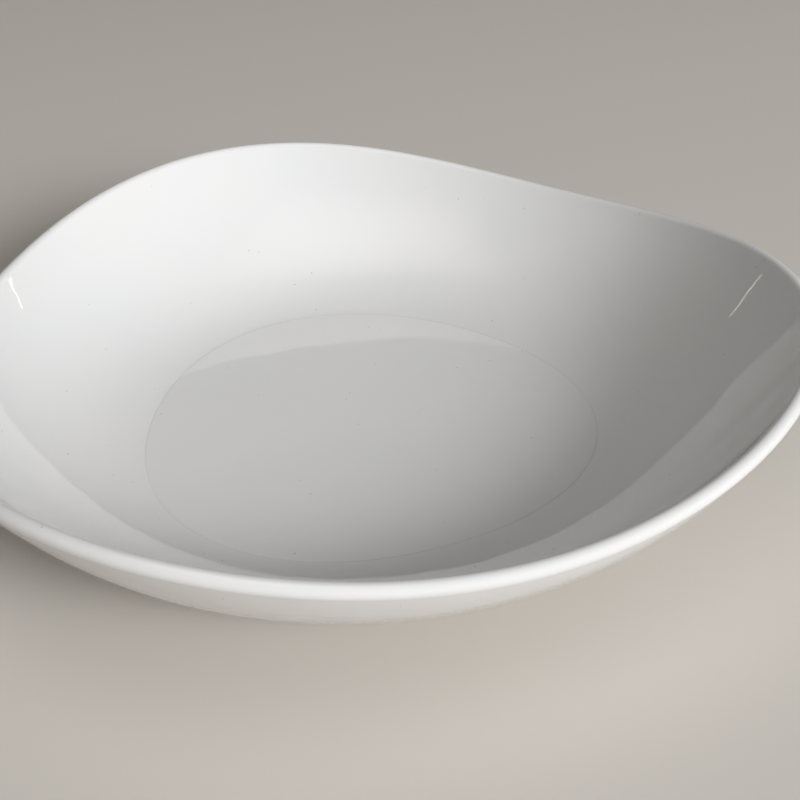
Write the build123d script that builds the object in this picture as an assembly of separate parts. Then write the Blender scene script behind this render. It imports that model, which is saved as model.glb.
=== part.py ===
from build123d import *
import os
from math import cos, radians, sin, tan

# A three-cornered porcelain serving bowl: the fired body with its foot ring, and its two areas of glaze.
# Millimetres and degrees. The origin is on the foot's axis, in the plane that the foot stands on.
# +Z is up, and one of the three soft corners points along +X.

# ---- The plan: a round outline that swells out and climbs at each corner ----
corners = 3
corner_reach = 4.8  # how far the lip stands out at a corner, and in half-way between two
corner_rise = 5.5  # how far the lip climbs at a corner, and dips half-way between two

# ---- The lip, the wall and the well ----
rim_radius = 135.5  # mean radius of the middle of the lip
rim_height = 49.6  # mean height of the middle of the lip
lip_thickness = 4.6
lip_slope = 60.0  # how steeply both faces of the wall arrive at the lip
well_radius = 75.0  # mean radius of the flat floor inside
well_slope = 6.0  # how steeply the inner wall leaves the floor, which leaves a fine ring there
floor_height = 8.2
floor_thickness = 5.0

# ---- The foot ring ----
foot_radius = 74.0  # mean radius outside
foot_width = 6.0
foot_taper = 0.6  # how much each side of the foot comes in where it stands
foot_slope = 3.0  # how steeply the outer wall leaves the foot
foot_edge_radius = 1.0
foot_root_radius = 1.5

# ---- The glaze ----
glaze_thickness = 0.3
wiped_height = 1.2  # how far up its sides the foot is wiped bare

# ---- The net of cross-sections and level rings that the wall is lofted on ----
sections_per_corner = 8
ring_shares = [0.0, 0.25, 0.5, 0.75, 1.0]  # where the rings cross each stretch of a cross-section

underside_height = floor_height - floor_thickness


def corner_wave(turn):
    """1 at a corner and -1 half-way between two, for a turn about the bowl's axis."""
    return cos(radians(corners * turn))


def spread(turn):
    """How much wider than a circle the plan is at a turn. All levels share this outline."""
    return 1 + corner_reach / rim_radius * corner_wave(turn)


def flare(start, start_slope, end, end_slope):
    """The parabola that leaves start at one slope and reaches end at another, in the XZ plane."""
    rise_at_start = tan(radians(start_slope))
    rise_at_end = tan(radians(end_slope))
    across = (end.Z - start.Z - rise_at_end * (end.X - start.X)) / (rise_at_start - rise_at_end)
    bend = start + Vector(across, 0, rise_at_start * across)
    return Edge.make_bezier(start, bend, end)


def wall_section(turn, skin):
    """The wall's cross-section at a turn: up the outside, over the lip and down the inside to the well.

    It lies a skin's depth under the finished surface.
    """
    wave = corner_wave(turn)
    rim = Vector(rim_radius + corner_reach * wave, 0, rim_height + corner_rise * wave)
    root = Vector((foot_radius - foot_width / 2) * spread(turn), 0, underside_height + skin)
    well = Vector(well_radius * spread(turn), 0, floor_height - skin)
    outward = Vector(sin(radians(lip_slope)), 0, -cos(radians(lip_slope))) * (lip_thickness / 2 - skin)
    top = Vector(-outward.Z, 0, outward.X)
    outside = flare(root, foot_slope, rim + outward, lip_slope)
    lip = Edge.make_three_point_arc(rim + outward, rim + top, rim - outward)
    inside = flare(well, well_slope, rim - outward, lip_slope)
    return [edge.rotate(Axis.Z, turn) for edge in (outside, lip, inside)]


def level_ring(points):
    """A smooth closed wire once about the axis, through evenly turned points."""
    evenly = [place / len(points) for place in range(len(points) + 1)]
    return Wire([Edge.make_spline(points, parameters=evenly, periodic=True)])


def turns():
    """The turns at which cross-sections are drawn."""
    count = corners * sections_per_corner
    return [360 / count * place for place in range(count)]


def dish(skin):
    """The bowl without its foot: three stretches of wall, the floor inside and the underside."""
    sections = [wall_section(turn, skin) for turn in turns()]
    stretches = [
        [level_ring([section[stretch] @ share for section in sections]) for share in ring_shares]
        for stretch in range(len(sections[0]))
    ]
    root_ring = stretches[0][0]
    well_ring = stretches[-1][0]
    faces = [Face(root_ring), Face(well_ring)]
    for rings in stretches:
        faces += Shell.make_loft(rings).faces()
    return Solid(Shell(faces))


def plan_ring(radius, height):
    """The plan's outline at a mean radius and a height."""
    return level_ring([Vector(radius * spread(turn), 0, height).rotate(Axis.Z, turn) for turn in turns()])


def drum(standing_radius, radius, height):
    """A solid drum of the plan's outline that stands on the table and tapers to another radius."""
    return Solid.make_loft([plan_ring(standing_radius, 0), plan_ring(radius, height)], ruled=True)


def foot_ring(skin):
    """The tapered ring that the bowl stands on, let half-way into its floor."""
    top = underside_height + floor_thickness / 2
    outer = foot_radius - skin
    inner = foot_radius - foot_width + skin
    return drum(outer - foot_taper, outer, top) - drum(inner + foot_taper, inner, top)


def bowl(skin):
    """The whole bowl on its foot, with the foot's roots and standing edges rounded."""
    plain_dish = dish(skin)
    plain_foot = foot_ring(skin)
    joined = plain_dish + plain_foot
    rooted = joined.fillet(foot_root_radius + skin, new_edges(plain_dish, plain_foot, combined=joined))
    standing_face = rooted.faces().sort_by(Axis.Z).first
    return rooted.fillet(foot_edge_radius, standing_face.edges())


def glaze_areas(body):
    """What the finished surface holds over the fired body, down to where the foot is wiped bare.

    The bare foot parts it in two: the coat outside it, and the smaller patch on the base inside it.
    """
    glazed = bowl(0).split(Plane.XY.offset(wiped_height), keep=Keep.TOP)
    patch, coat = (glazed - body).solids().sort_by(SortBy.VOLUME)
    return coat, patch


body = bowl(glaze_thickness)
coat, patch = glaze_areas(body)
nodes = {"porcelain_body": body, "glaze_coat": coat, "base_glaze": patch}

os.makedirs("parts", exist_ok=True)
for name, solid in nodes.items():
    export_step(solid, f"parts/{name}.step")
    print(name, round(solid.volume), "mm3")
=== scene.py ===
from math import cos, pi, radians, sin, tan

import bpy
from mathutils import Matrix, Quaternion, Vector


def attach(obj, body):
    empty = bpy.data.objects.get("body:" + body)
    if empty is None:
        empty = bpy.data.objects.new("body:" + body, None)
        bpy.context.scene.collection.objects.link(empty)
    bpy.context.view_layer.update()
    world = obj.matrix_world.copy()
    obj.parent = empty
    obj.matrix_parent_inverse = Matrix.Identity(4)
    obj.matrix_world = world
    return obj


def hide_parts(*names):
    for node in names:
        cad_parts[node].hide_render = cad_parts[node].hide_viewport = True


# A three-cornered porcelain serving bowl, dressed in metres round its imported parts.
# One corner points along +X, and the bowl stands on z = 0 with its axis on the origin.

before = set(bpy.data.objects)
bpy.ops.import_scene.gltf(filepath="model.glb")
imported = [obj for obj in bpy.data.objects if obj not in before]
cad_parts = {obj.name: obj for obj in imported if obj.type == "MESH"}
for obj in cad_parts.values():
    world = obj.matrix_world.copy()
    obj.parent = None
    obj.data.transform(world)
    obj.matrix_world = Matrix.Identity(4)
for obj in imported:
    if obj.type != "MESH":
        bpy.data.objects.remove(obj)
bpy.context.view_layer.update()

# ---- The bowl's own sizes, as in its drawing, in metres and radians ----
BOWL = {
    "Corners": 3.0,
    "Corner Reach": 0.0048,
    "Corner Rise": 0.0055,
    "Rim Radius": 0.1355,
    "Rim Height": 0.0496,
    "Lip Thickness": 0.0046,
    "Lip Slope": radians(60),
    "Well Radius": 0.075,
    "Well Slope": radians(6),
    "Floor Height": 0.0082,
    "Floor Thickness": 0.005,
    "Foot Radius": 0.074,
    "Foot Width": 0.006,
    "Foot Taper": 0.0006,
    "Foot Slope": radians(3),
    "Foot Edge": 0.001,
    "Foot Root": 0.0015,
    "Wiped Height": 0.0012,
    "Glaze Depth": 0.0003,
    "Well Easing": 0.008,
    "Line Depth": 0.00006,
    "Line Half Width": 0.0004,
    "Waviness": 0.0002,
    "Wave Length": 0.02,
    "Wave Start": 0.008,
    "Shrinkage": 0.0003,
}
TURNS = 288  # places round the bowl
SEED = 7.0  # of the wander of the fired wall
WANDER_DETAIL = 2.0
END_CLOSENESS = 0.75  # how much closer the rows lie at both ends of the wall
EDGE_CLOSENESS = 1.2  # how much closer they lie towards the well at its edge: 1 is even
FLOOR_CLOSENESS = 1.5  # and towards the well's edge on the floor
ROUND_PULL = 1.17  # how far a parabola's corner is pulled out to bulge as a quarter circle does
LINE_SETBACK = 1.1  # from the well's edge to the middle of the fine line, in half widths of the line
WELD = 0.000002  # points nearer than this become one


# ---- Wiring Geometry Nodes ----

def add(tree, kind, links=None, **settings):
    """A node with its settings. links maps a socket's name or number to a value or another node's socket."""
    node = tree.nodes.new(kind)
    for name, value in settings.items():
        setattr(node, name, value)
    for name, value in (links or {}).items():
        socket = node.inputs[name]
        if isinstance(value, bpy.types.NodeSocket):
            tree.links.new(value, socket)
        else:
            socket.default_value = value
    return node


class Sums:
    """Short words for the sums that a tree is wired from."""

    def __init__(self, tree):
        self.tree = tree

    def sum(self, operation, *values):
        return add(self.tree, "ShaderNodeMath", dict(enumerate(values)), operation=operation).outputs[0]

    def plus(self, a, b):
        return self.sum("ADD", a, b)

    def minus(self, a, b):
        return self.sum("SUBTRACT", a, b)

    def times(self, a, b):
        return self.sum("MULTIPLY", a, b)

    def over(self, a, b):
        return self.sum("DIVIDE", a, b)

    def vector(self, operation, a, b):
        return add(self.tree, "ShaderNodeVectorMath", {0: a, 1: b}, operation=operation).outputs[0]

    def point(self, across, height):
        """A point of a cross-section: its distance from the axis in X, and its height in Z."""
        return add(self.tree, "ShaderNodeCombineXYZ", {"X": across, "Z": height}).outputs[0]

    def across(self, point):
        return add(self.tree, "ShaderNodeSeparateXYZ", {0: point}).outputs["X"]

    def height(self, point):
        return add(self.tree, "ShaderNodeSeparateXYZ", {0: point}).outputs["Z"]

    def between(self, a, b, share):
        mix = add(self.tree, "ShaderNodeMix", {0: share, 4: a, 5: b}, data_type="VECTOR", clamp_factor=False)
        return mix.outputs[1]

    def bend(self, start, middle, end, share):
        """The parabola that leaves start towards middle and reaches end from it."""
        return self.between(self.between(start, middle, share), self.between(middle, end, share), share)

    def meeting(self, start, start_slope, end, end_slope):
        """Where the line that leaves start at one slope meets the line that reaches end at another."""
        rise_at_start = self.sum("TANGENT", start_slope)
        rise_at_end = self.sum("TANGENT", end_slope)
        rise = self.minus(self.height(end), self.height(start))
        run = self.minus(self.across(end), self.across(start))
        across = self.over(
            self.minus(rise, self.times(rise_at_end, run)), self.minus(rise_at_start, rise_at_end)
        )
        return self.vector("ADD", start, self.point(across, self.times(rise_at_start, across)))


# ---- The bowl's cross-section at any turn ----

class Section(Sums):
    """The stretches of the cross-section, a skin's depth under the finished surface.

    Each stretch gives its point at a share of its own length. They run from the axis under the bowl, out
    and down the inside of the foot, up its outside, up the wall, over the lip and back in to the axis.
    """

    def __init__(self, tree, sizes, skin, foot_start):
        super().__init__(tree)
        place = add(tree, "ShaderNodeSeparateXYZ", {0: add(tree, "GeometryNodeInputPosition").outputs[0]})
        self.size = sizes
        self.skin = skin
        self.foot_start = foot_start  # the height at which the walls of the foot begin
        self.around = self.plus(sizes["Turns"], 1)
        self.share = self.plus(place.outputs["X"], 0.5)
        self.turn = self.times(self.plus(place.outputs["Y"], 0.5), 2 * pi)
        self.eased = self.closer_at_ends(self.share)
        self.wave = self.sum("COSINE", self.times(self.turn, sizes["Corners"]))
        reach = self.times(sizes["Corner Reach"], self.wave)
        rise = self.times(sizes["Corner Rise"], self.wave)
        self.spread = self.plus(1.0, self.over(reach, sizes["Rim Radius"]))
        self.rim = self.point(self.plus(sizes["Rim Radius"], reach), self.plus(sizes["Rim Height"], rise))
        self.half = self.minus(self.over(sizes["Lip Thickness"], 2.0), skin)
        self.under = self.plus(self.minus(sizes["Floor Height"], sizes["Floor Thickness"]), skin)
        self.foot_top = self.plus(self.under, self.over(sizes["Floor Thickness"], 2.0))
        self.root_radius = self.plus(sizes["Foot Root"], skin)
        root_across = self.minus(sizes["Foot Radius"], self.over(sizes["Foot Width"], 2.0))
        root = self.point(self.times(root_across, self.spread), self.under)
        lip_outside = self.on_lip(self.minus(sizes["Lip Slope"], pi / 2))
        lip_inside = self.on_lip(self.plus(sizes["Lip Slope"], pi / 2))
        well_across = self.times(sizes["Well Radius"], self.spread)
        self.well = self.point(well_across, self.minus(sizes["Floor Height"], skin))
        outer_middle = self.meeting(root, sizes["Foot Slope"], lip_outside, sizes["Lip Slope"])
        inner_middle = self.meeting(self.well, sizes["Well Slope"], lip_inside, sizes["Lip Slope"])
        self.outer_arc = (root, outer_middle, lip_outside)
        self.inner_arc = (lip_inside, inner_middle, self.well)
        self.lay_outer_root()
        self.lay_well_edge()

    def closer_at_ends(self, share):
        """A share whose rows lie closer together at both ends of a stretch."""
        smooth = self.times(self.times(share, share), self.minus(3.0, self.times(2.0, share)))
        return self.plus(self.times(END_CLOSENESS, smooth), self.times(1 - END_CLOSENESS, share))

    def on_lip(self, angle):
        """The point of the rounded lip in a direction from its middle."""
        reach = self.times(self.half, self.sum("COSINE", angle))
        rise = self.times(self.half, self.sum("SINE", angle))
        return self.vector("ADD", self.rim, self.point(reach, rise))

    def taper(self, height):
        """How far each side of the foot draws in at a height: most where it stands."""
        return self.times(self.size["Foot Taper"], self.minus(1.0, self.over(height, self.foot_top)))

    def outer_foot(self, height):
        """The point on the outside of the foot at a height."""
        mean = self.minus(self.minus(self.size["Foot Radius"], self.skin), self.taper(height))
        return self.point(self.times(mean, self.spread), height)

    def inner_foot(self, height):
        """The point on the inside of the foot at a height."""
        middle = self.minus(self.size["Foot Radius"], self.size["Foot Width"])
        mean = self.plus(self.plus(middle, self.skin), self.taper(height))
        return self.point(self.times(mean, self.spread), height)

    def slope_of(self, arc, share):
        """How steeply an arc of the wall runs at a share of its length."""
        start, middle, end = arc
        leaving, reaching = self.vector("SUBTRACT", middle, start), self.vector("SUBTRACT", end, middle)
        way = self.between(leaving, reaching, share)
        return self.over(self.height(way), self.across(way))

    def lay_outer_root(self):
        """Where the rounding between foot and wall leaves the wall, meets the corner and joins the foot."""
        start, middle, _ = self.outer_arc
        run = self.plus(self.over(self.size["Foot Width"], 2.0), self.root_radius)
        self.root_share = self.over(run, self.times(2.0, self.minus(self.across(middle), self.across(start))))
        self.root_end = self.bend(*self.outer_arc, self.root_share)
        slope = self.slope_of(self.outer_arc, self.root_share)
        foot_across = self.across(self.outer_foot(self.under))
        back = self.minus(self.across(self.root_end), foot_across)
        corner_height = self.minus(self.height(self.root_end), self.times(slope, back))
        self.root_corner = self.point(foot_across, corner_height)
        self.root_start_height = self.minus(corner_height, self.root_radius)

    def lay_well_edge(self):
        """Where the wall leaves its own curve to run out level into the well."""
        _, middle, end = self.inner_arc
        run = self.minus(self.across(middle), self.across(end))
        self.edge_share = self.minus(1.0, self.over(self.size["Well Easing"], self.times(2.0, run)))
        self.edge_start = self.bend(*self.inner_arc, self.edge_share)
        slope = self.slope_of(self.inner_arc, self.edge_share)
        drop = self.minus(self.height(self.edge_start), self.height(end))
        across = self.minus(self.across(self.edge_start), self.over(drop, slope))
        self.edge_corner = self.point(across, self.height(end))

    def rounded(self, start, corner, end):
        """A rounding that bulges to the corner more than a parabola does, as a quarter circle."""
        pulled = self.between(self.between(start, end, 0.5), corner, ROUND_PULL)
        return self.bend(start, pulled, end, self.share)

    def underside(self):
        """The base inside the foot, from the axis out."""
        inner = self.across(self.inner_foot(self.under))
        return self.point(self.times(self.minus(inner, self.root_radius), self.share), self.under)

    def inner_root(self):
        """The rounding from the base into the inside of the foot."""
        wall = self.inner_foot(self.under)
        start = self.vector("SUBTRACT", wall, self.point(self.root_radius, 0.0))
        return self.bend(start, wall, self.inner_foot(self.minus(self.under, self.root_radius)), self.share)

    def inner_wall(self):
        """Down the inside of the foot."""
        top = self.minus(self.under, self.root_radius)
        return self.inner_foot(self.plus(top, self.times(self.minus(self.foot_start, top), self.share)))

    def inner_edge(self):
        """The rounding from the inside of the foot to the edge that it stands on."""
        edge = self.size["Foot Edge"]
        corner = self.inner_foot(0.0)
        end = self.vector("ADD", corner, self.point(edge, 0.0))
        return self.rounded(self.inner_foot(edge), corner, end)

    def bearing(self):
        """The level edge that the bowl stands on."""
        across = self.point(self.size["Foot Edge"], 0.0)
        start = self.vector("ADD", self.inner_foot(0.0), across)
        return self.between(start, self.vector("SUBTRACT", self.outer_foot(0.0), across), self.share)

    def outer_edge(self):
        """The rounding from the edge that it stands on to the outside of the foot."""
        edge = self.size["Foot Edge"]
        corner = self.outer_foot(0.0)
        start = self.vector("SUBTRACT", corner, self.point(edge, 0.0))
        return self.rounded(start, corner, self.outer_foot(edge))

    def outer_wall(self):
        """Up the outside of the foot."""
        run = self.minus(self.root_start_height, self.foot_start)
        return self.outer_foot(self.plus(self.foot_start, self.times(run, self.share)))

    def outer_root(self):
        """The rounding from the foot into the wall."""
        return self.bend(self.outer_foot(self.root_start_height), self.root_corner, self.root_end, self.share)

    def outside(self):
        """Up the outside of the wall to the lip."""
        share = self.plus(self.root_share, self.times(self.minus(1.0, self.root_share), self.eased))
        return self.bend(*self.outer_arc, share)

    def lip(self):
        """Half round the lip, from outside to inside."""
        begin = self.minus(self.size["Lip Slope"], pi / 2)
        return self.on_lip(self.plus(begin, self.times(self.share, pi)))

    def inside(self):
        """Down the inside of the wall, as far as its own curve goes."""
        return self.bend(*self.inner_arc, self.times(self.edge_share, self.eased))

    def well_edge(self):
        """From the wall's curve level into the well."""
        share = self.minus(1.0, self.sum("POWER", self.minus(1.0, self.share), EDGE_CLOSENESS))
        return self.bend(self.edge_start, self.edge_corner, self.well, share)

    def line(self, point):
        """How far a place lies in the fine line round the well: 1 in its middle and 0 beside it."""
        half = self.size["Line Half Width"]
        outward = self.minus(self.across(point), self.across(self.well))
        part = self.over(self.minus(outward, self.times(half, LINE_SETBACK)), half)
        bell = self.sum("MAXIMUM", self.minus(1.0, self.times(part, part)), 0.0)
        return self.times(bell, bell)

    def floor(self):
        """The flat of the well, from its edge to the axis."""
        inward = self.minus(1.0, self.sum("POWER", self.share, FLOOR_CLOSENESS))
        return self.vector("MULTIPLY", self.well, self.point(inward, 1.0))

    def net(self, rows, point, line_shade=None):
        """A net of rows round the bowl on a stretch, marked with how strongly the painted shade of the fine
        line lies there.
        """
        grid_size = {"Size X": 1.0, "Size Y": 1.0, "Vertices X": rows, "Vertices Y": self.around}
        grid = add(self.tree, "GeometryNodeMeshGrid", grid_size).outputs["Mesh"]
        if line_shade is not None:
            kept = {"Geometry": grid, "Name": "line_shade", "Value": line_shade}
            kind = "GeometryNodeStoreNamedAttribute"
            grid = add(self.tree, kind, kept, data_type="FLOAT", domain="POINT").outputs[0]
        angle = add(self.tree, "ShaderNodeCombineXYZ", {"Z": self.turn}).outputs[0]
        swing = {"Vector": point, "Rotation": angle}
        turned = add(self.tree, "ShaderNodeVectorRotate", swing, rotation_type="EULER_XYZ").outputs[0]
        return add(self.tree, "GeometryNodeSetPosition", {"Geometry": grid, "Position": turned}).outputs[0]

    def lined_net(self, rows, point):
        """A net with the fine line sunk in it, and marked as the place where painted shade darkens the
        glaze's colour.
        """
        # The same bell both sinks the fine line and marks where painted shade darkens its colour.
        line = self.line(point)
        sunk = self.point(0.0, self.times(self.size["Line Depth"], line))
        return self.net(rows, self.vector("SUBTRACT", point, sunk), line_shade=line)

    def nets(self, stretches):
        """A net on each stretch of a list, with its own number of rows."""
        return [self.net(rows, stretch(self)) for stretch, rows in stretches]


# ---- The stretches of each piece in order, with their rows ----

BORDER_ROWS = 2
COAT_WALL = (
    (Section.outer_wall, 3),
    (Section.outer_root, 8),
    (Section.outside, 56),
    (Section.lip, 17),
    (Section.inside, 84),
)
COAT_EDGE_ROWS = 26
COAT_FLOOR_ROWS = 26
COAT_LINING = (
    (Section.outer_wall, 2),
    (Section.outer_root, 5),
    (Section.outside, 36),
    (Section.lip, 9),
    (Section.inside, 32),
    (Section.well_edge, 6),
    (Section.floor, 10),
)
BASE_FACE = (
    (Section.underside, 30),
    (Section.inner_root, 8),
    (Section.inner_wall, 3),
)
BASE_LINING = (
    (Section.underside, 16),
    (Section.inner_root, 5),
    (Section.inner_wall, 2),
)
BODY_FACE = (
    (Section.underside, 16),
    (Section.inner_root, 5),
    (Section.inner_wall, 3),
    (Section.inner_edge, 8),
    (Section.bearing, 5),
    (Section.outer_edge, 8),
    (Section.outer_wall, 3),
    (Section.outer_root, 5),
    (Section.outside, 40),
    (Section.lip, 9),
    (Section.inside, 44),
    (Section.well_edge, 7),
    (Section.floor, 13),
)


# ---- The tree of each piece ----

def joined(tree, shapes):
    """Several shapes as one."""
    join = tree.nodes.new("GeometryNodeJoinGeometry")
    for shape in shapes:
        tree.links.new(shape, join.inputs[0])
    return join.outputs[0]


def facing_out(tree, shape):
    """A shape turned over, so that its faces point outwards."""
    return add(tree, "GeometryNodeFlipFaces", {"Mesh": shape}).outputs[0]


def new_tree(name):
    """An empty tree that takes the bowl's sizes, the places round it, a seed and a finish."""
    tree = bpy.data.node_groups.new(name, "GeometryNodeTree")
    face = tree.interface

    def entry(label, kind, value=None):
        socket = face.new_socket(label, in_out="INPUT", socket_type=kind)
        if value is not None:
            socket.default_value = value

    entry("Geometry", "NodeSocketGeometry")
    for label, value in BOWL.items():
        entry(label, "NodeSocketFloat", value)
    entry("Turns", "NodeSocketInt", TURNS)
    entry("Seed", "NodeSocketFloat", SEED)
    entry("Finish", "NodeSocketMaterial")
    face.new_socket("Geometry", in_out="OUTPUT", socket_type="NodeSocketGeometry")
    return tree, tree.nodes.new("NodeGroupInput").outputs


def close_tree(tree, sizes, shapes):
    """Welds the nets into one closed shape, lets it wander as a fired wall does, and gives it its finish."""
    sums = Sums(tree)
    welded = add(tree, "GeometryNodeMergeByDistance", {"Geometry": joined(tree, shapes), "Distance": WELD})
    place = add(tree, "GeometryNodeInputPosition").outputs[0]
    waves = sums.over(1.0, sizes["Wave Length"])
    chance = {"Vector": place, "W": sizes["Seed"], "Scale": waves, "Detail": WANDER_DETAIL}
    wander = add(tree, "ShaderNodeTexNoise", chance, noise_dimensions="4D").outputs["Color"]
    centred = sums.vector("SUBTRACT", wander, (0.5, 0.5, 0.5))
    lifted = sums.sum("MINIMUM", sums.over(sums.height(place), sizes["Wave Start"]), 1.0)
    strength = sums.times(sizes["Waviness"], lifted)
    offset = add(tree, "ShaderNodeVectorMath", {0: centred, "Scale": strength}, operation="SCALE").outputs[0]
    moved = add(tree, "GeometryNodeSetPosition", {"Geometry": welded.outputs[0], "Offset": offset})
    kept = sums.minus(1.0, sizes["Shrinkage"])
    scale = add(tree, "ShaderNodeCombineXYZ", {"X": kept, "Y": kept, "Z": kept}).outputs[0]
    moved = add(tree, "GeometryNodeTransform", {"Geometry": moved.outputs[0], "Scale": scale})
    smooth = add(tree, "GeometryNodeSetShadeSmooth", {"Geometry": moved.outputs[0]})
    real = add(tree, "GeometryNodeRealizeInstances", {"Geometry": smooth.outputs[0]})
    finished = {"Geometry": real.outputs[0], "Material": sizes["Finish"]}
    coloured = add(tree, "GeometryNodeSetMaterial", finished)
    tree.links.new(coloured.outputs[0], tree.nodes.new("NodeGroupOutput").inputs[0])


def face_and_back(tree, sizes):
    """The finished surface, and the fired body's surface a glaze's depth under it, above the wiped edge."""
    wiped = sizes["Wiped Height"]
    return Section(tree, sizes, 0.0, wiped), Section(tree, sizes, sizes["Glaze Depth"], wiped)


def coat_tree():
    """The glaze from the outside of the foot over the lip to the middle of the floor, as a closed skin."""
    tree, sizes = new_tree("glaze coat")
    top, back = face_and_back(tree, sizes)
    wiped = sizes["Wiped Height"]
    border = top.between(back.outer_foot(wiped), top.outer_foot(wiped), top.share)
    face = [
        top.net(BORDER_ROWS, border),
        *top.nets(COAT_WALL),
        top.lined_net(COAT_EDGE_ROWS, top.well_edge()),
        top.net(COAT_FLOOR_ROWS, top.floor()),
    ]
    lining = back.nets(COAT_LINING)
    close_tree(tree, sizes, [facing_out(tree, joined(tree, face)), joined(tree, lining)])
    return tree


def base_tree():
    """The patch of glaze on the underside, down the inside of the foot, as a closed skin."""
    tree, sizes = new_tree("base glaze")
    top, back = face_and_back(tree, sizes)
    wiped = sizes["Wiped Height"]
    border = top.between(top.inner_foot(wiped), back.inner_foot(wiped), top.share)
    face = [*top.nets(BASE_FACE), top.net(BORDER_ROWS, border)]
    lining = back.nets(BASE_LINING)
    close_tree(tree, sizes, [facing_out(tree, joined(tree, face)), joined(tree, lining)])
    return tree


def body_tree():
    """The fired body under the glaze, which shows bare where it stands."""
    tree, sizes = new_tree("fired body")
    body = Section(tree, sizes, sizes["Glaze Depth"], sizes["Foot Edge"])
    close_tree(tree, sizes, [facing_out(tree, joined(tree, body.nets(BODY_FACE)))])
    return tree


def grown(name, tree, finish):
    """A plain mesh object from a tree: the modifier is evaluated once and taken off."""
    seedling = bpy.data.objects.new(name + " net", bpy.data.meshes.new(name + " net"))
    bpy.context.scene.collection.objects.link(seedling)
    grow = seedling.modifiers.new("grow", "NODES")
    grow.node_group = tree
    for item in tree.interface.items_tree:
        if item.in_out == "INPUT" and item.name == "Finish":
            grow[item.identifier] = finish
    view = bpy.context.evaluated_depsgraph_get()
    mesh = bpy.data.meshes.new_from_object(seedling.evaluated_get(view), depsgraph=view)
    bpy.data.objects.remove(seedling)
    mesh.name = name
    piece = bpy.data.objects.new(name, mesh)
    bpy.context.scene.collection.objects.link(piece)
    return piece


# ---- Finishes ----

GLAZE_WARM, GLAZE_COOL = (0.885, 0.881, 0.87), (0.872, 0.873, 0.869)
GLAZE_IOR = 1.52
PINHOLE_BROWN = (0.32, 0.29, 0.25)
# The grey of the painted shade along the fine line round the well, standing in for the shade of its groove.
LINE_SHADE_GREY = (0.42, 0.4, 0.37)
BISQUE, BISQUE_SHADE = (0.86, 0.845, 0.81), (0.8, 0.77, 0.715)
DUST_GREY = (0.62, 0.58, 0.52)
CLOUD_MM, LINE_SHADE_MM, SHEEN_MM, RIPPLE_MM = 60, 70, 18, 11  # how wide each pattern of the glaze is
RIPPLE_DEPTH, PINHOLE_DEPTH = 0.00006, 0.0001
PINHOLES_PER_METRE = 190.0
PINHOLES_LEFT_OUT = 0.45  # the share of their places that stay without one
PATCH_MM, GRAIN_MM = 12, 0.5  # how wide the patterns of the bare porcelain are
GRAIN_DEPTH = 0.00005


def new_finish(name):
    """A material with its tree and its shader."""
    finish = bpy.data.materials.new(name)
    finish.use_nodes = True
    tree = finish.node_tree
    return finish, tree, tree.nodes["Principled BSDF"]


def noise(tree, place, width, detail=2.0, roughness=0.5):
    """A noise over the object's own coordinates, with a width in millimetres."""
    links = {"Vector": place, "Scale": 1000.0 / width, "Detail": detail, "Roughness": roughness}
    return add(tree, "ShaderNodeTexNoise", links).outputs["Fac"]


def ramp(tree, value, low, high, to_low=0.0, to_high=1.0):
    """A value between two limits, laid out between two others."""
    links = {"Value": value, "From Min": low, "From Max": high, "To Min": to_low, "To Max": to_high}
    return add(tree, "ShaderNodeMapRange", links).outputs["Result"]


def paint(tree, share, under, over):
    """A plain colour over another colour, by a share."""
    if not isinstance(under, bpy.types.NodeSocket):
        under = (*under, 1.0)
    return add(tree, "ShaderNodeMix", {0: share, 6: under, 7: (*over, 1.0)}, data_type="RGBA").outputs[2]


def relief(tree, height, depth, strength, sunk=False, under=None):
    """A fine relief, raised or sunk, whose depth is in metres at full strength."""
    links = {"Height": height, "Strength": strength, "Distance": depth}
    if under is not None:
        links["Normal"] = under
    return add(tree, "ShaderNodeBump", links, invert=sunk).outputs[0]


def white_glaze():
    """Glossy white glaze: faint clouding and ripple, a few pinholes, and painted shade along the fine line
    round the well, in uneven patches.
    """
    finish, tree, shader = new_finish("white glaze")
    sums = Sums(tree)
    place = add(tree, "ShaderNodeTexCoord").outputs["Object"]
    cloud = ramp(tree, noise(tree, place, CLOUD_MM, detail=3.0), low=0.35, high=0.65)
    spots = {"Vector": place, "Scale": PINHOLES_PER_METRE, "Randomness": 1.0}
    specks = add(tree, "ShaderNodeTexVoronoi", spots, feature="F1").outputs
    dots = ramp(tree, specks["Distance"], low=0.02, high=0.05, to_low=1.0, to_high=0.0)
    pick = add(tree, "ShaderNodeSeparateColor", {0: specks["Color"]}).outputs[0]
    pinholes = sums.times(dots, sums.sum("GREATER_THAN", pick, PINHOLES_LEFT_OUT))
    line_shade = add(tree, "ShaderNodeAttribute", attribute_name="line_shade").outputs["Fac"]
    patches = noise(tree, place, LINE_SHADE_MM, detail=1.0)
    uneven = ramp(tree, patches, low=0.4, high=0.6, to_low=0.03, to_high=0.24)
    # Painted shade: the fine line round the well is darkened in the glaze's colour, standing in for the shade
    # of its groove.
    painted_line_shade = sums.times(ramp(tree, line_shade, low=0.1, high=1.0), uneven)
    colour = paint(tree, cloud, GLAZE_WARM, GLAZE_COOL)
    colour = paint(tree, pinholes, colour, PINHOLE_BROWN)
    colour = paint(tree, painted_line_shade, colour, LINE_SHADE_GREY)
    sheen = noise(tree, place, SHEEN_MM, detail=3.0)
    gloss = ramp(tree, sheen, low=0.3, high=0.7, to_low=0.02, to_high=0.045)
    ripple = relief(tree, noise(tree, place, RIPPLE_MM, detail=1.5), RIPPLE_DEPTH, strength=1.0)
    pits = relief(tree, pinholes, PINHOLE_DEPTH, strength=0.5, sunk=True, under=ripple)
    for socket, value in (("Base Color", colour), ("Roughness", gloss), ("Normal", pits)):
        tree.links.new(value, shader.inputs[socket])
    shader.inputs["IOR"].default_value = GLAZE_IOR
    return finish


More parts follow.
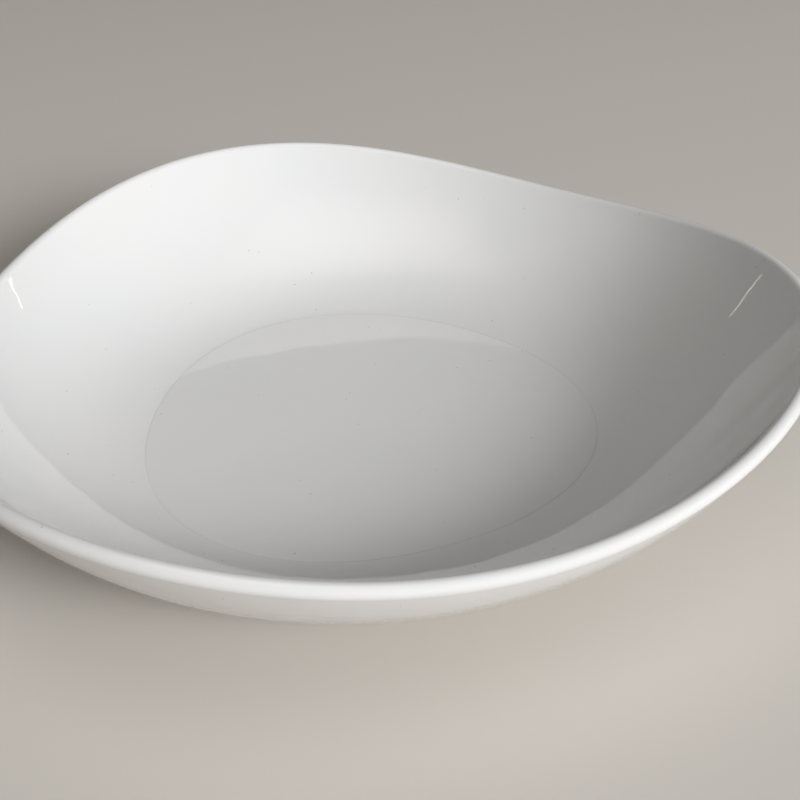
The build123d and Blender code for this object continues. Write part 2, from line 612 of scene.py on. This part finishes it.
def bare_porcelain():
    """Matt fired porcelain without glaze: faint patches, and dust in its grain."""
    finish, tree, shader = new_finish("bare porcelain")
    place = add(tree, "ShaderNodeTexCoord").outputs["Object"]
    grain = noise(tree, place, GRAIN_MM, detail=4.0, roughness=0.7)
    patches = ramp(tree, noise(tree, place, PATCH_MM), low=0.35, high=0.7)
    dust = ramp(tree, grain, low=0.62, high=0.75, to_low=0.0, to_high=0.35)
    colour = paint(tree, dust, paint(tree, patches, BISQUE, BISQUE_SHADE), DUST_GREY)
    matt = ramp(tree, grain, low=0.3, high=0.7, to_low=0.7, to_high=0.9)
    rough = relief(tree, grain, GRAIN_DEPTH, strength=0.4)
    for socket, value in (("Base Color", colour), ("Roughness", matt), ("Normal", rough)):
        tree.links.new(value, shader.inputs[socket])
    return finish


# ---- The pieces ----

glaze, bare = white_glaze(), bare_porcelain()
for name, tree, finish, node, slot in (
    ("glazed_surface", coat_tree(), glaze, "glaze_coat", "white_glaze"),
    ("glazed_base", base_tree(), glaze, "base_glaze", "white_glaze"),
    ("fired_porcelain", body_tree(), bare, "porcelain_body", "bare_porcelain"),
):
    piece = grown(name, tree, finish)
    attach(piece, "root")
    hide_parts(node)


# ---- The floor, the light and the camera ----

FLOOR_RADIUS, FLOOR_SIDES = 3.0, 128
FLOOR_COLOUR = (0.75, 0.71, 0.655)
BOWL_MIDDLE = Vector((0.0, 0.0, 0.02))
WHITE = (1.0, 1.0, 1.0)
FEATHER_GAIN = 36.0  # what x(1 - x)y(1 - y) needs over a square to average 1


def plain_floor():
    """A wide pale disc."""
    bpy.ops.mesh.primitive_circle_add(vertices=FLOOR_SIDES, radius=FLOOR_RADIUS, fill_type="NGON")
    floor = bpy.context.object
    floor.name = "floor"
    finish, _, shader = new_finish("pale floor")
    shader.inputs["Base Color"].default_value = (*FLOOR_COLOUR, 1.0)
    shader.inputs["Roughness"].default_value = 0.8
    shader.inputs["Specular IOR Level"].default_value = 0.2
    floor.data.materials.append(finish)


def softbox(name, turn, climb, distance, size, power, colour=WHITE, lean=0, feathered=True, mirrored=True):
    """A panel of light that faces the bowl, in degrees round from the front and up from the floor.

    A feathered panel fades to nothing at its edges, so that its mirror image in the glaze has no outline.
    One that isn't mirrored lights the bowl like a panel behind a polarising sheet, without glare.
    """
    light = bpy.data.lights.new(name, "AREA")
    light.shape = "RECTANGLE"
    light.size, light.size_y = size
    light.energy = power
    light.color = colour
    if feathered:
        feather(light)
    lamp = bpy.data.objects.new(name, light)
    way = Vector((sin(radians(turn)), -cos(radians(turn)), tan(radians(climb)))).normalized()
    lamp.location = BOWL_MIDDLE + way * distance
    facing = way.to_track_quat("Z", "Y") @ Quaternion((0.0, 0.0, 1.0), radians(lean))
    lamp.rotation_euler = facing.to_euler()
    lamp.visible_camera = False
    lamp.visible_glossy = mirrored
    bpy.context.scene.collection.objects.link(lamp)


def feather(light):
    """Fades a panel of light from its middle to its edges and keeps its power."""
    light.use_nodes = True
    tree = light.node_tree
    sums = Sums(tree)
    place = add(tree, "ShaderNodeNewGeometry").outputs["Parametric"]
    split = add(tree, "ShaderNodeSeparateXYZ", {0: place})
    fades = [sums.times(split.outputs[axis], sums.minus(1.0, split.outputs[axis])) for axis in ("X", "Y")]
    strength = sums.times(sums.times(*fades), FEATHER_GAIN)
    tree.links.new(strength, tree.nodes["Emission"].inputs["Strength"])


def soft_world(colour, strength, seen):
    """A faint even light all round, and a plain backdrop that is seen past the floor and in the glaze."""
    world = bpy.data.worlds.new("studio")
    bpy.context.scene.world = world
    world.use_nodes = True
    tree = world.node_tree
    shade = tree.nodes["Background"]
    shade.inputs["Color"].default_value = (*colour, 1.0)
    shade.inputs["Strength"].default_value = strength
    backdrop = add(tree, "ShaderNodeBackground", {"Color": (*seen, 1.0), "Strength": 1.0})
    rays = add(tree, "ShaderNodeLightPath").outputs
    sums = Sums(tree)
    mirrored = sums.sum("MAXIMUM", rays["Is Glossy Ray"], rays["Is Transmission Ray"])
    direct = sums.sum("MAXIMUM", rays["Is Camera Ray"], mirrored)
    pick = add(tree, "ShaderNodeMixShader", {0: direct, 1: shade.outputs[0], 2: backdrop.outputs[0]})
    tree.links.new(pick.outputs[0], tree.nodes["World Output"].inputs["Surface"])


def camera_at(place, aim, lean, lens):
    """A camera that looks at a point, leaning some degrees to one side."""
    view = bpy.data.cameras.new("camera")
    view.lens = lens
    camera = bpy.data.objects.new("camera", view)
    ahead = (Vector(aim) - Vector(place)).normalized()
    right = ahead.cross(Vector((0, 0, 1))).normalized()
    up = right.cross(ahead)
    tilt = Matrix.Rotation(radians(lean), 3, ahead)
    turn = Matrix((tilt @ right, tilt @ up, -ahead)).transposed()
    camera.matrix_world = Matrix.Translation(place) @ turn.to_4x4()
    bpy.context.scene.collection.objects.link(camera)
    bpy.context.scene.camera = camera


plain_floor()
soft_world(colour=(1.0, 0.97, 0.93), strength=0.03, seen=(0.2, 0.2, 0.203))

# The main light comes from a wide window at the right front, which has only a faint glow in the glaze.
softbox(
    "window", turn=47, climb=25, distance=5.2, size=(3.0, 2.1), power=224.0, colour=(0.97, 0.98, 1.0),
    mirrored=False,
)
softbox(
    "window glow", turn=48, climb=26, distance=2.6, size=(3.4, 2.4), power=4.0, colour=(0.96, 0.97, 1.0)
)

# The room's own light fills the shadows.
softbox("right fill", turn=90, climb=16, distance=2.6, size=(2.4, 1.6), power=3.0, colour=(1.0, 0.97, 0.92))
softbox("left fill", turn=-60, climb=25, distance=2.8, size=(3.2, 2.2), power=2.7, colour=(1.0, 0.93, 0.83))
softbox("side fill", turn=-100, climb=25, distance=2.6, size=(3.0, 2.0), power=0.4, colour=(1.0, 0.93, 0.83))
softbox("ceiling", turn=0, climb=80, distance=2.6, size=(2.6, 2.6), power=14.6, colour=(1.0, 0.97, 0.935))
softbox("far wall", turn=188, climb=30, distance=2.6, size=(3.0, 1.6), power=0.4)

# Two thin strips behind the bowl show as the two bright streaks near the ends of the rim.
softbox(
    "left strip", turn=-135.0, climb=14.3, distance=1.6, size=(0.009, 0.165), power=0.027,
    colour=(1.0, 0.86, 0.62), lean=36, feathered=False,
)
softbox(
    "right strip", turn=136.6, climb=18.9, distance=1.6, size=(0.011, 0.2), power=0.06,
    colour=(1.0, 0.95, 0.82), lean=-32, feathered=False,
)

camera_at(place=(0.05029, -0.35234, 0.23919), aim=(0.01057, 0.01349, 0.0082), lean=1.07, lens=56.23)
bpy.context.scene.view_settings.view_transform = "Standard"
